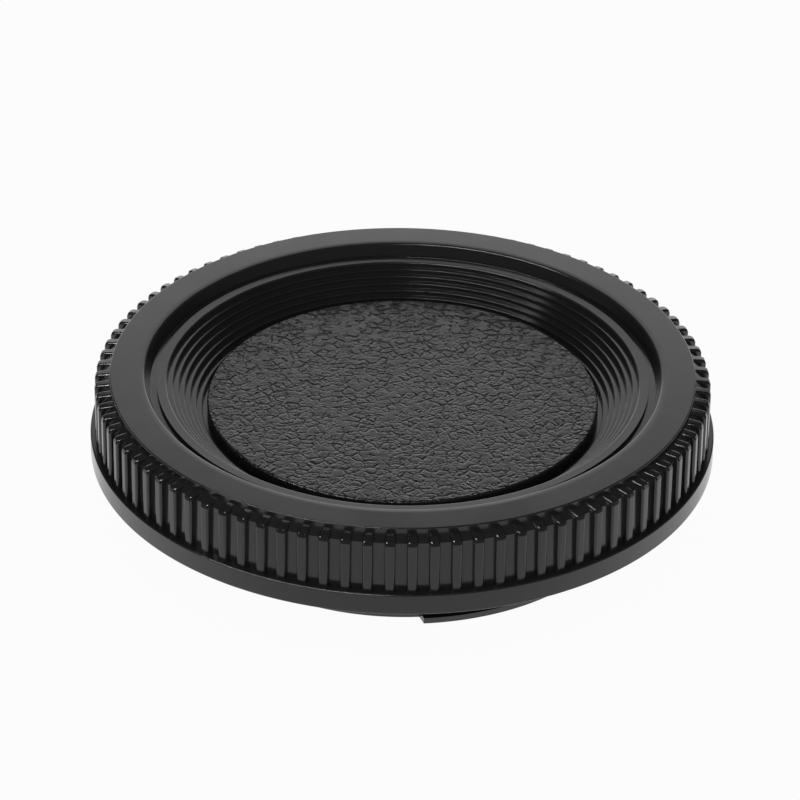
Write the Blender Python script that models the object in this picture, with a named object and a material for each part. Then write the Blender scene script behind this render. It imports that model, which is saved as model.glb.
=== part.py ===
# A camera body cap: one moulded plastic cap with a ribbed grip, a stepped recess and a
# bayonet collar, and a leather disc glued to the floor of the recess.
# The cap stands on the end of its collar, with its axis on +Z and z = 0 at that end.

import math

import bmesh
import bpy
from mathutils import Matrix, Vector

MM = 0.001

# Heights, from the end of the collar up
COLLAR_LENGTH = 6.64 * MM
FLANGE_HEIGHT = 2.16 * MM
RIB_HEIGHT = 5.67 * MM
NECK_HEIGHT = 0.57 * MM

# Outer steps, from the flange inwards
FLANGE_RADIUS = 31.07 * MM
FLANGE_EDGE_ROUND = 0.15 * MM
LEDGE_WIDTH = 0.53 * MM
NECK_STEP = 0.94 * MM
NECK_CHAMFER_DROP = 0.49 * MM
NECK_CHAMFER_START = 0.62 * MM

# Grip ribs
RIB_COUNT = 90
RIB_DEPTH = 0.57 * MM
RIB_FACE_WIDTH = 1.00 * MM
RIB_BASE_WIDTH = 1.04 * MM
RIB_TOP_SLOPE = 6.5
RIB_SHOULDER_ROUND = 0.42 * MM
RIB_EDGE_ROUND = 0.25 * MM
RIB_ROOT = 0.30 * MM
GROOVE_DRAFT = 0.09 * MM

# Top annulus, and the recess from there inwards
TOP_FACE_WIDTH = 3.41 * MM
RECESS_WALL_DRAFT = 0.52 * MM
OUTER_GROOVE_DEPTH = 1.35 * MM
OUTER_GROOVE_WIDTH = 0.72 * MM
RING_RISE = 0.35 * MM
RING_WIDTH = 1.01 * MM
STEP_COUNT = 6
STEP_TREAD = 0.575 * MM
STEP_RISER = 0.505 * MM
FLOOR_DROP = 0.47 * MM

# Underside
SEAT_WIDTH = 9.55 * MM
COLLAR_WALL = 1.50 * MM
COLLAR_LAND = 1.60 * MM
RIM_WALL = 1.90 * MM
CHANNEL_ROOF = 3.00 * MM
FLOOR_THICKNESS = 1.60 * MM

# Bayonet lugs on the end of the collar
LUG_COUNT = 3
LUG_REACH = 1.18 * MM
LUG_THICKNESS = 0.60 * MM
LUG_ROOT = 0.60 * MM
LUG_START = 274.6
LUG_ARC = 52.0
LUG_RAMP = 1.3

# Leather disc
DISC_EDGE_CLEARANCE = 0.50 * MM
DISC_THICKNESS = 1.02 * MM
DISC_EDGE_ROUND = 0.22 * MM
GLUE_GAP = 0.30 * MM

# Facets
TURN_STEPS = RIB_COUNT
DISC_STEPS = 64
LUG_STEPS = 13
EDGE_STEPS = 1
SHOULDER_STEPS = 2
MERGE_DISTANCE = 0.001 * MM

# Levels worked out from the heights
SEAT_Z = COLLAR_LENGTH
LEDGE_Z = SEAT_Z + FLANGE_HEIGHT
RIB_TOP_Z = LEDGE_Z + RIB_HEIGHT
TOP_Z = RIB_TOP_Z + NECK_HEIGHT
OUTER_GROOVE_Z = TOP_Z - OUTER_GROOVE_DEPTH
RING_Z = OUTER_GROOVE_Z + RING_RISE
FLOOR_Z = RING_Z - STEP_COUNT * STEP_RISER - FLOOR_DROP

# Radii worked out from the flange inwards
RIB_FACE_RADIUS = FLANGE_RADIUS - LEDGE_WIDTH
GROOVE_RADIUS = RIB_FACE_RADIUS - RIB_DEPTH
NECK_RADIUS = GROOVE_RADIUS - NECK_STEP
TOP_INNER_RADIUS = NECK_RADIUS - TOP_FACE_WIDTH
WALL_FOOT_RADIUS = TOP_INNER_RADIUS - RECESS_WALL_DRAFT
RING_OUTER_RADIUS = WALL_FOOT_RADIUS - OUTER_GROOVE_WIDTH
RING_INNER_RADIUS = RING_OUTER_RADIUS - RING_WIDTH
FLOOR_RADIUS = RING_INNER_RADIUS - STEP_COUNT * STEP_TREAD
COLLAR_RADIUS = FLANGE_RADIUS - SEAT_WIDTH


def clear_scene():
    for old in list(bpy.data.objects):
        bpy.data.objects.remove(old)


def make_material(name, colour, roughness):
    material = bpy.data.materials.new(name)
    material.use_nodes = True
    shader = material.node_tree.nodes["Principled BSDF"]
    shader.inputs["Base Color"].default_value = (*colour, 1.0)
    shader.inputs["Roughness"].default_value = roughness
    shader.inputs["Metallic"].default_value = 0.0
    return material


def arc(centre_r, centre_z, radius, start, end, steps):
    # Points (radius from the axis, height) of a rounded corner, angles in degrees.
    points = []
    for i in range(steps + 1):
        angle = math.radians(start + (end - start) * i / steps)
        points.append((centre_r + radius * math.cos(angle), centre_z + radius * math.sin(angle)))
    return points


def turn(mesh, profile, steps, start_angle):
    # Revolves a profile that begins and ends on the axis into a closed body.
    across = Vector((math.cos(start_angle), math.sin(start_angle), 0.0))
    ring = [mesh.verts.new(across * r + Vector((0.0, 0.0, z))) for r, z in profile]
    edges = [mesh.edges.new(pair) for pair in zip(ring, ring[1:])]
    bmesh.ops.spin(
        mesh, geom=ring + edges, cent=(0.0, 0.0, 0.0), axis=(0.0, 0.0, 1.0),
        angle=math.tau, steps=steps, use_merge=True,
    )
    bmesh.ops.remove_doubles(mesh, verts=mesh.verts, dist=MERGE_DISTANCE)
    bmesh.ops.recalc_face_normals(mesh, faces=mesh.faces)


def copy_round(mesh, count):
    # Repeats the shape in the mesh at equal angles round the axis.
    shape = mesh.verts[:] + mesh.edges[:] + mesh.faces[:]
    for i in range(1, count):
        copy = bmesh.ops.duplicate(mesh, geom=shape)["geom"]
        copied = [item for item in copy if isinstance(item, bmesh.types.BMVert)]
        turned = Matrix.Rotation(math.tau * i / count, 3, "Z")
        bmesh.ops.rotate(mesh, verts=copied, cent=(0.0, 0.0, 0.0), matrix=turned)


def make_object(name, mesh, material):
    data = bpy.data.meshes.new(name)
    mesh.to_mesh(data)
    mesh.free()
    data.materials.append(material)
    data.shade_smooth()
    data.set_sharp_from_angle(angle=math.radians(30.0))
    made = bpy.data.objects.new(name, data)
    bpy.context.scene.collection.objects.link(made)
    return made


def join_solid(target, tool):
    # The tool stays in the scene as a hidden guide, fused to the target by the modifier.
    fuse = target.modifiers.new("join_" + tool.name, "BOOLEAN")
    fuse.operation = "UNION"
    fuse.solver = "EXACT"
    fuse.object = tool
    tool.hide_render = True
    tool.display_type = "WIRE"


def underside_profile():
    hollow_radius = COLLAR_RADIUS - COLLAR_WALL
    ceiling_z = FLOOR_Z - FLOOR_THICKNESS
    channel_inner = COLLAR_RADIUS + COLLAR_LAND
    channel_outer = GROOVE_RADIUS - RIM_WALL
    roof_z = OUTER_GROOVE_Z - CHANNEL_ROOF
    return [
        (0.0, ceiling_z),
        (hollow_radius, ceiling_z),
        (hollow_radius, 0.0),
        (COLLAR_RADIUS, 0.0),
        (COLLAR_RADIUS, SEAT_Z),
        (channel_inner, SEAT_Z),
        (channel_inner, roof_z),
        (channel_outer, roof_z),
        (channel_outer, SEAT_Z),
    ]


def outer_profile():
    edge_r = FLANGE_RADIUS - FLANGE_EDGE_ROUND
    low_edge = arc(edge_r, SEAT_Z + FLANGE_EDGE_ROUND, FLANGE_EDGE_ROUND, -90.0, 0.0, EDGE_STEPS)
    high_edge = arc(edge_r, LEDGE_Z - FLANGE_EDGE_ROUND, FLANGE_EDGE_ROUND, 0.0, 90.0, EDGE_STEPS)
    chamfer_top = TOP_Z - NECK_CHAMFER_START
    return low_edge + high_edge + [
        (GROOVE_RADIUS + GROOVE_DRAFT, LEDGE_Z),
        (GROOVE_RADIUS, chamfer_top - NECK_CHAMFER_DROP),
        (NECK_RADIUS, chamfer_top),
        (NECK_RADIUS, TOP_Z),
    ]


def recess_profile():
    points = [
        (TOP_INNER_RADIUS, TOP_Z),
        (WALL_FOOT_RADIUS, OUTER_GROOVE_Z),
        (RING_OUTER_RADIUS, OUTER_GROOVE_Z),
        (RING_OUTER_RADIUS, RING_Z),
        (RING_INNER_RADIUS, RING_Z),
    ]
    for i in range(STEP_COUNT):
        edge_r = RING_INNER_RADIUS - i * STEP_TREAD
        tread_z = RING_Z - (i + 1) * STEP_RISER
        points += [(edge_r, tread_z), (edge_r - STEP_TREAD, tread_z)]
    return points + [(FLOOR_RADIUS, FLOOR_Z), (0.0, FLOOR_Z)]


def make_ribs(material):
    # Each rib is a prism with a sloping top, a rounded shoulder and rounded side edges.
    root_radius = NECK_RADIUS - RIB_ROOT
    flank_slope = (RIB_BASE_WIDTH - RIB_FACE_WIDTH) / 2 / RIB_DEPTH
    face_half = RIB_FACE_WIDTH / 2
    root_half = face_half + (RIB_FACE_RADIUS - root_radius) * flank_slope
    mesh = bmesh.new()
    plan = [
        (root_radius, -root_half),
        (RIB_FACE_RADIUS, -face_half),
        (RIB_FACE_RADIUS, face_half),
        (root_radius, root_half),
    ]
    foot_z = LEDGE_Z - RIB_ROOT
    foot = mesh.faces.new([mesh.verts.new((x, y, foot_z)) for x, y in plan])
    raised = bmesh.ops.extrude_face_region(mesh, geom=[foot])["geom"]
    head = [item for item in raised if isinstance(item, bmesh.types.BMVert)]
    slope = math.tan(math.radians(RIB_TOP_SLOPE))
    for v in head:
        v.co.z = RIB_TOP_Z - (v.co.x - NECK_RADIUS) * slope
    shoulder = [
        edge for edge in mesh.edges
        if all(v in head and v.co.x > (root_radius + RIB_FACE_RADIUS) / 2 for v in edge.verts)
    ]
    bmesh.ops.bevel(
        mesh, geom=shoulder, offset=RIB_SHOULDER_ROUND, affect="EDGES",
        segments=SHOULDER_STEPS, profile=0.5, material=-1,
    )
    bmesh.ops.recalc_face_normals(mesh, faces=mesh.faces)
    flanks = [f for f in mesh.faces if abs(f.normal.y) > abs(f.normal.x) + abs(f.normal.z)]
    sides = [
        edge for edge in mesh.edges
        if sum(face in flanks for face in edge.link_faces) == 1
        and max(v.co.x for v in edge.verts) > root_radius + MERGE_DISTANCE
        and max(v.co.z for v in edge.verts) > foot_z + MERGE_DISTANCE
    ]
    bmesh.ops.bevel(
        mesh, geom=sides, offset=RIB_EDGE_ROUND, affect="EDGES",
        segments=EDGE_STEPS, profile=0.5, material=-1,
    )
    bmesh.ops.recalc_face_normals(mesh, faces=mesh.faces)
    copy_round(mesh, RIB_COUNT)
    return make_object("rib_guide", mesh, material)


def make_lugs(material):
    # An arc-shaped lug with ramped ends, its root sunk in the collar wall.
    start = math.radians(LUG_START)
    root_radius = COLLAR_RADIUS - LUG_ROOT
    tip_radius = COLLAR_RADIUS + LUG_REACH
    across = Vector((math.cos(start), math.sin(start), 0.0))
    mesh = bmesh.new()
    section = [(root_radius, 0.0), (tip_radius, 0.0), (tip_radius, LUG_THICKNESS), (root_radius, LUG_THICKNESS)]
    end = mesh.faces.new([mesh.verts.new(across * r + Vector((0.0, 0.0, z))) for r, z in section])
    bmesh.ops.spin(
        mesh, geom=[end], cent=(0.0, 0.0, 0.0), axis=(0.0, 0.0, 1.0),
        angle=math.radians(LUG_ARC), steps=LUG_STEPS,
    )
    ramp = math.radians(LUG_RAMP)
    for end_angle, lean in ((start, ramp), (start + math.radians(LUG_ARC), -ramp)):
        radial = Vector((math.cos(end_angle), math.sin(end_angle), 0.0))
        tips = [v for v in mesh.verts if (v.co - radial * tip_radius).length < LUG_THICKNESS * 1.01]
        bmesh.ops.rotate(mesh, verts=tips, cent=(0.0, 0.0, 0.0), matrix=Matrix.Rotation(lean, 3, "Z"))
    bmesh.ops.recalc_face_normals(mesh, faces=mesh.faces)
    copy_round(mesh, LUG_COUNT)
    return make_object("lug_guide", mesh, material)


def make_cap_body():
    plastic = make_material("black_plastic", (0.012, 0.012, 0.013), 0.22)
    mesh = bmesh.new()
    profile = underside_profile() + outer_profile() + recess_profile()
    half_pitch = math.pi / RIB_COUNT
    turn(mesh, profile, TURN_STEPS, half_pitch)
    body = make_object("cap_body", mesh, plastic)
    join_solid(body, make_ribs(plastic))
    join_solid(body, make_lugs(plastic))


def make_leather_disc():
    leather = make_material("black_leather", (0.018, 0.018, 0.018), 0.55)
    low_z = FLOOR_Z + GLUE_GAP
    high_z = low_z + DISC_THICKNESS
    radius = FLOOR_RADIUS - DISC_EDGE_CLEARANCE
    rim = arc(radius - DISC_EDGE_ROUND, high_z - DISC_EDGE_ROUND, DISC_EDGE_ROUND, 0.0, 90.0, 2)
    mesh = bmesh.new()
    turn(mesh, [(0.0, low_z), (radius, low_z)] + rim + [(0.0, high_z)], DISC_STEPS, 0.0)
    make_object("leather_disc", mesh, leather)


clear_scene()
make_cap_body()
make_leather_disc()
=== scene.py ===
import math

import bmesh
import bpy
from mathutils import Matrix, Vector, noise


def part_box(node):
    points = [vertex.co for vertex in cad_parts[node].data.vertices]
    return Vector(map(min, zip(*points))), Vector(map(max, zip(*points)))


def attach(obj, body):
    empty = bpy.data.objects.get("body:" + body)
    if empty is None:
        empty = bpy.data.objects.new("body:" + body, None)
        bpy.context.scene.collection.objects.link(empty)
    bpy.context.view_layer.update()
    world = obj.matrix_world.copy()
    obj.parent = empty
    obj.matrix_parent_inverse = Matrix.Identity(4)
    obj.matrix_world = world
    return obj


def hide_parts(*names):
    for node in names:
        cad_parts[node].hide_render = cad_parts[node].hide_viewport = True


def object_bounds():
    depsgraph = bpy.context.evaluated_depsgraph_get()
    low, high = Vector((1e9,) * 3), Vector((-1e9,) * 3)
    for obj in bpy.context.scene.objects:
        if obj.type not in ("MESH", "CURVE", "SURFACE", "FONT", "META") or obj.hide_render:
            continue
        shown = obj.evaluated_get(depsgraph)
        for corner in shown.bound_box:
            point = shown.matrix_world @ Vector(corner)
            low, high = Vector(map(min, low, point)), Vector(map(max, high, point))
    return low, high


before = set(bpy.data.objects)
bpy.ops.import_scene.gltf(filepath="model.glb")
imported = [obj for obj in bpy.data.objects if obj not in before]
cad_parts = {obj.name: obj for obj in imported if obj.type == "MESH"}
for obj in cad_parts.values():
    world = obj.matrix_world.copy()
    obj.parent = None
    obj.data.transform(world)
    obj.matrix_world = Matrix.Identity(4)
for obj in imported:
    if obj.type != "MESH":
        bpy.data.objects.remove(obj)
cadLow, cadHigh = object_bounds()
mm = 0.001
topHeight = cadHigh.z

# Camera: the photo's viewpoint; it looks at a point just in front of the top face's middle
cameraSettings = {
    "distance": 465.7 * mm,
    "elevation": 30.79,
    "roll": 0.73,
    "lens": 211.5,
    "aimX": -0.25 * mm,
    "aimY": -5.77 * mm,
    "clipStart": 10.0 * mm,
}


def addCamera(settings):
    elevation = math.radians(settings["elevation"])
    away = Vector((0.0, -math.cos(elevation), math.sin(elevation)))
    place = Vector((0.0, 0.0, topHeight)) + away * settings["distance"]
    aim = Vector((settings["aimX"], settings["aimY"], topHeight))
    turned = (aim - place).to_track_quat("-Z", "Y").to_matrix()
    turned = turned @ Matrix.Rotation(math.radians(settings["roll"]), 3, "Z")
    data = bpy.data.cameras.new("photoCamera")
    data.lens = settings["lens"]
    data.clip_start = settings["clipStart"]
    camera = bpy.data.objects.new("photoCamera", data)
    camera.matrix_world = Matrix.Translation(place) @ turned.to_4x4()
    bpy.context.scene.collection.objects.link(camera)
    bpy.context.scene.camera = camera


addCamera(cameraSettings)
print("camera placed")


def link(name, mesh, material):
    # Turns a finished bmesh into an object at the origin.
    data = bpy.data.meshes.new(name)
    mesh.to_mesh(data)
    mesh.free()
    data.materials.append(material)
    made = bpy.data.objects.new(name, data)
    bpy.context.scene.collection.objects.link(made)
    return made


def pick(items, kind):
    return [item for item in items if isinstance(item, kind)]


def objectPlace(tree):
    return tree.nodes.new("ShaderNodeTexCoord").outputs["Object"]


def addNoise(tree, scale, detail):
    pattern = tree.nodes.new("ShaderNodeTexNoise")
    pattern.inputs["Scale"].default_value = scale
    pattern.inputs["Detail"].default_value = detail
    tree.links.new(objectPlace(tree), pattern.inputs["Vector"])
    return pattern


def mapRange(tree, source, fromRange, toRange, smoothed=False):
    mapped = tree.nodes.new("ShaderNodeMapRange")
    mapped.interpolation_type = "SMOOTHSTEP" if smoothed else "LINEAR"
    mapped.inputs["From Min"].default_value = fromRange[0]
    mapped.inputs["From Max"].default_value = fromRange[1]
    mapped.inputs["To Min"].default_value = toRange[0]
    mapped.inputs["To Max"].default_value = toRange[1]
    tree.links.new(source, mapped.inputs["Value"])
    return mapped.outputs["Result"]


def addMath(tree, operation, first, second):
    # Each of the two is a number or another node's output.
    step = tree.nodes.new("ShaderNodeMath")
    step.operation = operation
    for socket, value in zip(step.inputs, (first, second)):
        if isinstance(value, float):
            socket.default_value = value
        else:
            tree.links.new(value, socket)
    return step.outputs[0]


def addBump(tree, shader, source, distance):
    bump = tree.nodes.new("ShaderNodeBump")
    bump.inputs["Strength"].default_value = 1.0
    bump.inputs["Distance"].default_value = distance
    tree.links.new(source, bump.inputs["Height"])
    tree.links.new(bump.outputs["Normal"], shader.inputs["Normal"])


def splitAxes(tree, source):
    parts = tree.nodes.new("ShaderNodeSeparateXYZ")
    tree.links.new(source, parts.inputs[0])
    return parts.outputs


def mixShaders(tree, share, first, second, outputKind):
    mix = tree.nodes.new("ShaderNodeMixShader")
    tree.links.new(share, mix.inputs["Fac"])
    tree.links.new(first, mix.inputs[1])
    tree.links.new(second, mix.inputs[2])
    tree.links.new(mix.outputs[0], tree.nodes.new(outputKind).inputs["Surface"])


noiseMiddle = (0.3, 0.7)        # most of a noise pattern lies between these


def newMaterial(name, look):
    # A glossy material whose roughness changes a little in patches.
    material = bpy.data.materials.new(name)
    material.use_nodes = True
    tree = material.node_tree
    shader = tree.nodes["Principled BSDF"]
    shader.inputs["Base Color"].default_value = (*look["colour"], 1.0)
    shader.inputs["IOR"].default_value = look["refraction"]
    shader.inputs["Roughness"].default_value = look["roughness"]
    smoothest = look["roughness"] - look["roughnessChange"]
    roughest = look["roughness"] + look["roughnessChange"]
    patches = addNoise(tree, look["patchScale"], look["patchDetail"])
    varied = mapRange(tree, patches.outputs["Fac"], noiseMiddle, (smoothest, roughest))
    tree.links.new(varied, shader.inputs["Roughness"])
    return material, tree, shader


# Black moulded plastic: smooth satin with a faint unevenness
plasticLook = {
    "colour": (0.016, 0.016, 0.0165),
    "refraction": 1.6,
    "roughness": 0.18,
    "roughnessChange": 0.03,
    "patchScale": 180.0,
    "patchDetail": 3.0,
    "waveScale": 420.0,
    "waveDetail": 2.0,
    "waveDepth": 0.002 * mm,
}


def makePlastic(look):
    material, tree, shader = newMaterial("mouldedBlackPlastic", look)
    waves = addNoise(tree, look["waveScale"], look["waveDetail"])
    addBump(tree, shader, waves.outputs["Fac"], look["waveDepth"])
    return material


# Cap body, sizes in mm; heights are measured down from the top face
capSizes = {
    "flangeRadius": cadHigh.x / mm,
    "seatDrop": 8.40,
    "ledgeDrop": 6.24,
    "flangeRound": 0.15,
    "grooveRadius": (29.97, 30.06),         # at the top and at the foot of the ribs
    "neckRadius": 29.03,
    "chamferDrop": (0.62, 1.11),            # at the neck and at the ribs' ground
    "topRound": 0.12,
    "innerEase": (26.05, 0.02, 0.25),       # radius, drop at its end, rounding
    "innerRadius": 25.62,
    "innerRound": 0.13,
    "wallFootRadius": 25.10,
    "wallFootRound": 0.04,
    "ringOuterRadius": 24.38,
    "ringInnerRadius": 23.37,
    "ringInnerRound": 0.17,
    "ringDrop": 1.00,
    "ringLean": 0.018,
    "grooveDrop": 1.35,
    "stepCount": 6,
    "tread": 0.575,
    "riser": 0.505,
    "riserDraft": 0.035,
    "stepRound": 0.08,
    "stepFootRound": 0.03,
    "floorDrop": 4.50,
    "ceilingDrop": 6.10,
    "hollowRadius": 20.02,
    "hollowRound": 0.30,
    "collarRadius": 21.52,
    "landRadius": 23.12,
    "channelRadius": 28.07,
    "roofDrop": 4.35,
    "crispRound": 0.03,
    "wideRound": 0.15,                      # from this rounding on, wideBends are used
    "fineBends": 4,
    "wideBends": 8,
    "turnSteps": 360,
    "mergeDistance": 0.001,
    "sharpAngle": 40.0,
}

ribSizes = {
    "count": 90,
    "faceRadius": 30.54,
    "faceWidth": 1.00,
    "baseWidth": 1.04,
    "rootRadius": 28.70,
    "topDrop": 0.57,
    "topSlope": 6.5,
    "footDrop": 6.54,
    "shoulderRound": 0.42,
    "shoulderBends": 2,
    "edgeRound": 0.25,
    "edgeBends": 5,
    "phase": 0.13,
}

lugSizes = {
    "count": 3,
    "reach": 1.18,
    "thickness": 0.60,
    "root": 0.60,
    "start": 274.6,
    "arc": 52.0,
    "ramp": 1.3,
    "steps": 52,
}


def capCorners(s):
    # (radius, drop below the top face, rounding) of each corner, from the axis underneath
    # round the outside and back to the axis in the recess
    bottom = topHeight / mm
    crisp = s["crispRound"]
    corners = [
        (0.0, s["ceilingDrop"], 0.0),
        (s["hollowRadius"], s["ceilingDrop"], s["hollowRound"]),
        (s["hollowRadius"], bottom, crisp),
        (s["collarRadius"], bottom, 0.0),
        (s["collarRadius"], s["seatDrop"], crisp),
        (s["landRadius"], s["seatDrop"], crisp),
        (s["landRadius"], s["roofDrop"], s["hollowRound"]),
        (s["channelRadius"], s["roofDrop"], s["hollowRound"]),
        (s["channelRadius"], s["seatDrop"], crisp),
        (s["flangeRadius"], s["seatDrop"], s["flangeRound"]),
        (s["flangeRadius"], s["ledgeDrop"], s["flangeRound"]),
        (s["grooveRadius"][1], s["ledgeDrop"], 0.0),
        (s["grooveRadius"][0], s["chamferDrop"][1], 0.0),
        (s["neckRadius"], s["chamferDrop"][0], 0.0),
        (s["neckRadius"], 0.0, s["topRound"]),
        (s["innerEase"][0], 0.0, s["innerEase"][2]),
        (s["innerRadius"], s["innerEase"][1], s["innerRound"]),
        (s["wallFootRadius"], s["grooveDrop"], s["wallFootRound"]),
        (s["ringOuterRadius"], s["grooveDrop"], 0.0),
        (s["ringOuterRadius"], s["ringDrop"] - s["ringLean"], 0.0),
        (s["ringInnerRadius"], s["ringDrop"], s["ringInnerRound"]),
    ]
    for i in range(s["stepCount"]):
        edge = s["ringInnerRadius"] - i * s["tread"]
        drop = s["ringDrop"] + (i + 1) * s["riser"]
        corners.append((edge - s["riserDraft"], drop, s["stepFootRound"]))
        corners.append((edge - s["tread"], drop, s["stepRound"]))
    floorRadius = s["ringInnerRadius"] - s["stepCount"] * s["tread"]
    corners.append((floorRadius - s["riserDraft"], s["floorDrop"], 0.0))
    corners.append((0.0, s["floorDrop"], 0.0))
    return corners


def drawProfile(mesh, s):
    # A wire through the corners, each one rounded by a vertex bevel.
    corners = capCorners(s)
    verts = [mesh.verts.new((r * mm, 0.0, topHeight - drop * mm)) for r, drop, _ in corners]
    for pair in zip(verts, verts[1:]):
        mesh.edges.new(pair)
    for rounding in sorted({corner[2] for corner in corners if corner[2] > 0.0}):
        chosen = [v for v, corner in zip(verts, corners) if corner[2] == rounding]
        bends = s["fineBends"] if rounding < s["wideRound"] else s["wideBends"]
        bmesh.ops.bevel(
            mesh, geom=chosen, offset=rounding * mm, affect="VERTICES",
            segments=bends, profile=0.5, material=-1,
        )


def copyRound(mesh, count):
    shape = mesh.verts[:] + mesh.edges[:] + mesh.faces[:]
    for i in range(1, count):
        made = bmesh.ops.duplicate(mesh, geom=shape)["geom"]
        verts = pick(made, bmesh.types.BMVert)
        turned = Matrix.Rotation(math.tau * i / count, 3, "Z")
        bmesh.ops.rotate(mesh, verts=verts, cent=(0.0, 0.0, 0.0), matrix=turned)


def ribMesh(s):
    faceHalf = s["faceWidth"] / 2
    rootHalf = faceHalf + (s["baseWidth"] - s["faceWidth"]) / 2 * (
        (s["faceRadius"] - s["rootRadius"]) / (s["faceRadius"] - capSizes["grooveRadius"][0])
    )
    foot = topHeight - s["footDrop"] * mm
    plan = [
        (s["rootRadius"], -rootHalf), (s["faceRadius"], -faceHalf),
        (s["faceRadius"], faceHalf), (s["rootRadius"], rootHalf),
    ]
    mesh = bmesh.new()
    base = mesh.faces.new([mesh.verts.new((x * mm, y * mm, foot)) for x, y in plan])
    raised = bmesh.ops.extrude_face_region(mesh, geom=[base])["geom"]
    head = pick(raised, bmesh.types.BMVert)
    slope = math.tan(math.radians(s["topSlope"]))
    for v in head:
        v.co.z = topHeight - s["topDrop"] * mm - (v.co.x - capSizes["neckRadius"] * mm) * slope
    middle = (s["rootRadius"] + s["faceRadius"]) / 2 * mm
    shoulder = [e for e in mesh.edges if all(v in head and v.co.x > middle for v in e.verts)]
    bmesh.ops.bevel(
        mesh, geom=shoulder, offset=s["shoulderRound"] * mm, affect="EDGES",
        segments=s["shoulderBends"], profile=0.5, material=-1,
    )
    bmesh.ops.recalc_face_normals(mesh, faces=mesh.faces)
    flankTurn = 0.8         # a face that looks sideways by more than this is a flank
    hiddenTurn = -0.5       # one that looks in or down by more than this is buried later
    flanks = [f for f in mesh.faces if abs(f.normal.y) > flankTurn]
    rims = [
        e for e in mesh.edges
        if sum(f in flanks for f in e.link_faces) == 1
        and all(min(f.normal.x, f.normal.z) > hiddenTurn for f in e.link_faces)
    ]
    bmesh.ops.bevel(
        mesh, geom=rims, offset=s["edgeRound"] * mm, affect="EDGES",
        segments=s["edgeBends"], profile=0.5, material=-1,
    )
    bmesh.ops.recalc_face_normals(mesh, faces=mesh.faces)
    phase = Matrix.Rotation(math.radians(s["phase"]), 3, "Z")
    bmesh.ops.rotate(mesh, verts=mesh.verts, cent=(0.0, 0.0, 0.0), matrix=phase)
    copyRound(mesh, s["count"])
    return mesh


def lugMesh(s):
    start = math.radians(s["start"])
    arc = math.radians(s["arc"])
    rootRadius = (capSizes["collarRadius"] - s["root"]) * mm
    tipRadius = (capSizes["collarRadius"] + s["reach"]) * mm
    across = Vector((math.cos(start), math.sin(start), 0.0))
    up = Vector((0.0, 0.0, s["thickness"] * mm))
    inner, outer = across * rootRadius, across * tipRadius
    mesh = bmesh.new()
    section = [inner, outer, outer + up, inner + up]
    end = mesh.faces.new([mesh.verts.new(point) for point in section])
    bmesh.ops.spin(
        mesh, geom=[end], cent=(0.0, 0.0, 0.0), axis=(0.0, 0.0, 1.0), angle=arc, steps=s["steps"],
    )
    ramp = math.radians(s["ramp"])
    for v in mesh.verts:
        # the outer side is squeezed along the arc, so that both ends lean in
        if v.co.xy.length > (rootRadius + tipRadius) / 2:
            turned = (math.atan2(v.co.y, v.co.x) - start + math.pi) % math.tau - math.pi
            lean = Matrix.Rotation(ramp * (1.0 - 2.0 * turned / arc), 3, "Z")
            v.co = lean @ v.co
    bmesh.ops.recalc_face_normals(mesh, faces=mesh.faces)
    copyRound(mesh, s["count"])
    return mesh


def fuse(target, tool):
    # Joins the tool's solids to the target and takes the tool away.
    union = target.modifiers.new("union", "BOOLEAN")
    union.operation = "UNION"
    union.solver = "EXACT"
    union.object = tool
    evaluated = target.evaluated_get(bpy.context.evaluated_depsgraph_get())
    joined = bpy.data.meshes.new_from_object(evaluated)
    target.modifiers.remove(union)
    target.data = joined
    bpy.data.objects.remove(tool)


def shadeSmooth(piece, sharpAngle):
    piece.data.shade_smooth()
    piece.data.set_sharp_from_angle(angle=math.radians(sharpAngle))


def keepWideFaces(piece):
    # A wide face keeps its own direction beside a narrow rounding, also where the bend is small.
    bendAngle = math.radians(3.0)
    areaRatio = 4.0
    mesh = bmesh.new()
    mesh.from_mesh(piece.data)
    for edge in mesh.edges:
        if len(edge.link_faces) == 2 and edge.calc_face_angle() > bendAngle:
            small, large = sorted(face.calc_area() for face in edge.link_faces)
            if large > areaRatio * small:
                edge.smooth = False
    mesh.to_mesh(piece.data)
    mesh.free()


def makeCap(s):
    plastic = makePlastic(plasticLook)
    mesh = bmesh.new()
    drawProfile(mesh, s)
    bmesh.ops.spin(
        mesh, geom=mesh.verts[:] + mesh.edges[:], cent=(0.0, 0.0, 0.0), axis=(0.0, 0.0, 1.0),
        angle=math.tau, steps=s["turnSteps"], use_merge=True,
    )
    bmesh.ops.remove_doubles(mesh, verts=mesh.verts, dist=s["mergeDistance"] * mm)
    bmesh.ops.recalc_face_normals(mesh, faces=mesh.faces)
    cap = link("capBodyFinish", mesh, plastic)
    fuse(cap, link("ribs", ribMesh(ribSizes), plastic))
    fuse(cap, link("lugs", lugMesh(lugSizes), plastic))
    shadeSmooth(cap, s["sharpAngle"])
    keepWideFaces(cap)
    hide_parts("cap_body")
    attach(cap, "root")
    print("cap body made,", len(cap.data.polygons), "faces")


makeCap(capSizes)

# Leather disc, sizes in mm
discSizes = {
    "grid": 290,
    "cell": 1.25,
    "crease": 0.35,
    "depth": 0.012,
    "fade": (0.55, 0.45),           # middle and swing of the creases' strength
    "fadeCell": 1.9,
    "fineCell": 0.70,
    "fineCrease": 0.30,
    "fineDepth": 0.004,
    "finePatch": (0.5, 1.6),        # middle and swing of the share that has fine creases
    "finePatchCell": 2.6,
    "warp": 0.35,
    "warpCell": 0.9,
    "warpSeed": 7,
    "edgeRound": 0.22,
    "edgeBends": 4,
    "sharpAngle": 60.0,
}

# Shifts that keep the patterns of the grain apart
fadeShift = Vector((7.0, 3.0, 1.0))
finePatchShift = Vector((20.0, 5.0, 2.0))
fineShift = Vector((40.0, 11.0, 0.0))

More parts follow.
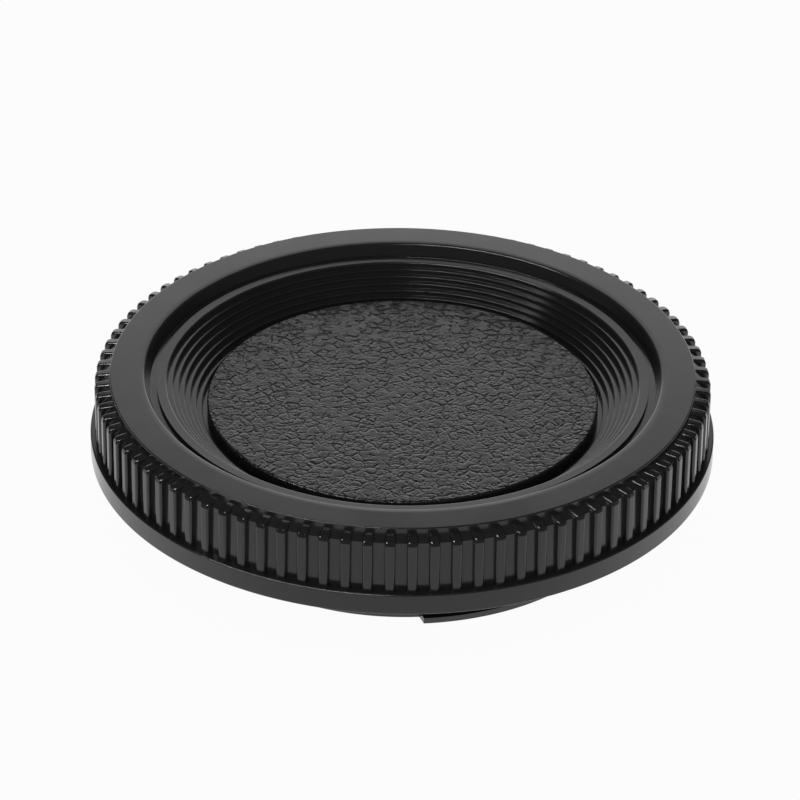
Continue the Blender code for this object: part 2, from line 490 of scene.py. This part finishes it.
leatherLook = {
    "colour": (0.014, 0.014, 0.014),
    "refraction": 1.53,
    "specularWithCreaseShade": (0.5, 0.2),         # on the plates and in a crease; the lower level in a crease is painted shade
    "creaseShadeDepth": (0.1, 0.9),
    "roughness": 0.25,
    "roughnessChange": 0.03,
    "patchScale": 500.0,
    "patchDetail": 3.0,
    "poreScale": 5200.0,
    "poreDetail": 2.0,
    "poreShare": 0.08,
    "bendScale": 1500.0,
    "bendDetail": 2.0,
    "bend": 0.45 * mm,
    "creaseDepth": 0.036 * mm,
    "creases": (                    # scale, width, share of the depth, scale of the gaps
        (900.0, 0.19, 1.0, 900.0),
        (1600.0, 0.22, 0.45, 700.0),
    ),
    "gapDetail": 1.0,
    "gapEdge": (0.42, 0.52),
    "gapShare": (0.05, 1.0),        # what is left of a crease in a gap and outside
}


def makeLeather(look):
    material, tree, shader = newMaterial("blackLeather", look)
    pores = addNoise(tree, look["poreScale"], look["poreDetail"])
    height = addMath(tree, "MULTIPLY", pores.outputs["Fac"], look["poreShare"])
    bends = addNoise(tree, look["bendScale"], look["bendDetail"])
    bent = tree.nodes.new("ShaderNodeVectorMath")
    bent.operation = "MULTIPLY_ADD"
    bent.inputs[1].default_value = (look["bend"],) * 3
    tree.links.new(bends.outputs["Color"], bent.inputs[0])
    tree.links.new(objectPlace(tree), bent.inputs[2])
    deep = None
    for scale, width, share, gapScale in look["creases"]:
        # thin creases between flat plates, broken off here and there
        plates = tree.nodes.new("ShaderNodeTexVoronoi")
        plates.voronoi_dimensions = "2D"
        plates.feature = "DISTANCE_TO_EDGE"
        plates.inputs["Scale"].default_value = scale
        tree.links.new(bent.outputs[0], plates.inputs["Vector"])
        crease = mapRange(tree, plates.outputs["Distance"], (0.0, width), (share, 0.0), True)
        gaps = addNoise(tree, gapScale, look["gapDetail"])
        present = mapRange(tree, gaps.outputs["Fac"], look["gapEdge"], look["gapShare"], True)
        drop = addMath(tree, "MULTIPLY", crease, present)
        height = addMath(tree, "SUBTRACT", height, drop)
        deep = drop if deep is None else addMath(tree, "MAXIMUM", deep, drop)
    # weaker reflection in the creases: painted shade standing in for their self-shadowing
    shineWithPaintedShade = mapRange(tree, deep, look["creaseShadeDepth"], look["specularWithCreaseShade"], True)
    tree.links.new(shineWithPaintedShade, shader.inputs["Specular IOR Level"])
    addBump(tree, shader, height, look["creaseDepth"])
    return material


def smooth(value):
    value = min(max(value, 0.0), 1.0)
    return value * value * (3.0 - 2.0 * value)


def creaseAt(place, cell, width):
    # 1 in the middle of a crease between two cells, 0 on the cells
    near = noise.voronoi(place / cell)[0]
    return 1.0 - smooth((near[1] - near[0]) / width)


def grainDrop(x, y, s):
    # How far the grain lies below the disc's top at a point, in mm
    place = Vector((x, y, 0.0))
    bend = noise.noise_vector(place / s["warpCell"]) * s["warp"]
    place = place + Vector((bend.x, bend.y, 0.0))
    strength = s["fade"][0] + s["fade"][1] * noise.noise(place / s["fadeCell"] + fadeShift)
    main = creaseAt(place, s["cell"], s["crease"]) * s["depth"] * strength
    spots = noise.noise(place / s["finePatchCell"] + finePatchShift)
    patch = smooth(spots * s["finePatch"][1] + s["finePatch"][0])
    fine = creaseAt(place + fineShift, s["fineCell"], s["fineCrease"])
    return main + fine * s["fineDepth"] * patch


def extrudeRim(mesh, rim):
    made = bmesh.ops.extrude_edge_only(mesh, edges=rim)["geom"]
    return pick(made, bmesh.types.BMEdge), pick(made, bmesh.types.BMVert)


def makeDisc(s):
    low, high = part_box("leather_disc")
    noise.seed_set(s["warpSeed"])       # without it noise_vector follows the clock
    edgeRound = s["edgeRound"] * mm
    flat = high.x - edgeRound
    mesh = bmesh.new()
    bmesh.ops.create_grid(mesh, x_segments=s["grid"], y_segments=s["grid"], size=1.0)
    for v in mesh.verts:
        # the square grid is drawn out to a circle
        x, y = v.co.x, v.co.y
        v.co.x = x * math.sqrt(1.0 - y * y / 2.0) * flat
        v.co.y = y * math.sqrt(1.0 - x * x / 2.0) * flat
        v.co.z = high.z - grainDrop(v.co.x / mm, v.co.y / mm, s) * mm
    rim = [e for e in mesh.edges if e.is_boundary]
    for i in range(1, s["edgeBends"] + 1):
        angle = math.pi / 2 * i / s["edgeBends"]
        reach = flat + math.sin(angle) * edgeRound
        drop = edgeRound * (1.0 - math.cos(angle))
        rim, verts = extrudeRim(mesh, rim)
        for v in verts:
            v.co = Vector((*(v.co.xy.normalized() * reach), high.z - drop))
    rim, verts = extrudeRim(mesh, rim)
    for v in verts:
        v.co.z = low.z
    bmesh.ops.edgeloop_fill(mesh, edges=rim)
    bmesh.ops.recalc_face_normals(mesh, faces=mesh.faces)
    disc = link("leatherDiscFinish", mesh, makeLeather(leatherLook))
    shadeSmooth(disc, s["sharpAngle"])
    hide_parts("leather_disc")
    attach(disc, "root")
    print("leather disc made,", len(disc.data.polygons), "faces")


makeDisc(discSizes)

# Studio: white floor, a bright low panel behind, little light elsewhere
studio = {
    "floorColour": 0.85,
    "floorSize": 3.0,
    "floorGlow": 0.96,                      # share of the floor's white that the camera sees lit
    "floorGlossWithPaintedShadow": (0.62, 1.0),              # its strength in gloss in front and behind; the weaker front is a painted shadow of the cap
    "floorPaintedShadowY": (-0.045, -0.015),
    "panelLight": 1.52,
    "panelElevation": -2.0,
    "panelEdge": (30.0, 36.0),              # full up to the first angle, gone at the second
    "panelSides": (0.30, 0.62),
    "fillLight": 0.055,
}

# along: direction of a lamp's length; inGloss: seen in gloss; onMatt: lights matt surfaces
lamps = {
    "softLamp": {
        "power": 6.0,
        "size": (1.8, 1.4),
        "place": (0.0, -0.45, 0.38),
        "along": (1.0, 0.0, 0.0),
        "inGloss": False,
        "onMatt": True,
    },
    "stripLamp": {
        "power": 7.0,
        "size": (0.98, 0.09),
        "place": (-0.459, -0.410, 0.787),
        "along": (0.823, -0.531, 0.206),
        "inGloss": True,
        "onMatt": False,
    },
}


def makeFloor(s):
    mesh = bmesh.new()
    bmesh.ops.create_grid(mesh, x_segments=1, y_segments=1, size=s["floorSize"] / 2)
    material = bpy.data.materials.new("floorWhite")
    material.use_nodes = True
    tree = material.node_tree
    tree.nodes.clear()
    paint = tree.nodes.new("ShaderNodeBsdfDiffuse")
    paint.inputs["Color"].default_value = (s["floorColour"],) * 3 + (1.0,)
    glow = tree.nodes.new("ShaderNodeEmission")
    rays = tree.nodes.new("ShaderNodeLightPath").outputs
    depth = splitAxes(tree, objectPlace(tree))["Y"]
    gloss = addMath(tree, "MAXIMUM", rays["Is Glossy Ray"], rays["Is Transmission Ray"])
    # the floor seen in gloss fades darker towards the front: a painted shadow of the cap
    shineWithPaintedShade = mapRange(tree, depth, s["floorPaintedShadowY"], s["floorGlossWithPaintedShadow"], True)
    seen = addMath(tree, "MULTIPLY", rays["Is Camera Ray"], s["floorGlow"])
    share = addMath(tree, "MAXIMUM", seen, gloss)
    strength = addMath(tree, "MAXIMUM", rays["Is Camera Ray"], shineWithPaintedShade)
    tree.links.new(strength, glow.inputs["Strength"])
    mixShaders(
        tree, share, paint.outputs["BSDF"], glow.outputs["Emission"], "ShaderNodeOutputMaterial",
    )
    floor = link("floor", mesh, material)


def makeWorld(s):
    world = bpy.data.worlds.new("studioWorld")
    world.use_nodes = True
    tree = world.node_tree
    tree.nodes.clear()
    direction = tree.nodes.new("ShaderNodeTexCoord").outputs["Generated"]
    toPanel = tree.nodes.new("ShaderNodeVectorMath")
    toPanel.operation = "DOT_PRODUCT"
    elevation = math.radians(s["panelElevation"])
    toPanel.inputs[1].default_value = (0.0, math.cos(elevation), math.sin(elevation))
    tree.links.new(direction, toPanel.inputs[0])
    edge = [math.cos(math.radians(angle)) for angle in s["panelEdge"]]
    inside = mapRange(tree, toPanel.outputs["Value"], edge[::-1], (0.0, 1.0), True)
    sideways = addMath(tree, "ABSOLUTE", splitAxes(tree, direction)["X"], 0.0)
    between = mapRange(tree, sideways, s["panelSides"], (1.0, 0.0), True)
    share = addMath(tree, "MULTIPLY", inside, between)
    level = mapRange(tree, share, (0.0, 1.0), (s["fillLight"], s["panelLight"]))
    light, backdrop = [tree.nodes.new("ShaderNodeBackground") for _ in range(2)]
    for shade in (light, backdrop):
        shade.inputs["Color"].default_value = (1.0, 1.0, 1.0, 1.0)
    tree.links.new(level, light.inputs["Strength"])
    backdrop.inputs["Strength"].default_value = 1.0
    seen = tree.nodes.new("ShaderNodeLightPath").outputs["Is Camera Ray"]
    mixShaders(tree, seen, light.outputs[0], backdrop.outputs[0], "ShaderNodeOutputWorld")
    bpy.context.scene.world = world


def makeLamps():
    for name, s in lamps.items():
        data = bpy.data.lights.new(name, "AREA")
        data.energy = s["power"]
        data.shape = "RECTANGLE"
        data.size, data.size_y = s["size"]
        lamp = bpy.data.objects.new(name, data)
        back = Vector(s["place"]).normalized()
        side = back.cross(Vector(s["along"])).normalized()
        turned = Matrix((side.cross(back), side, back)).transposed()
        lamp.matrix_world = Matrix.Translation(s["place"]) @ turned.to_4x4()
        lamp.visible_glossy = s["inGloss"]
        lamp.visible_diffuse = s["onMatt"]
        lamp.visible_camera = False
        bpy.context.scene.collection.objects.link(lamp)


makeFloor(studio)
makeWorld(studio)
makeLamps()
bpy.context.scene.view_settings.view_transform = "Standard"
print("studio lit")
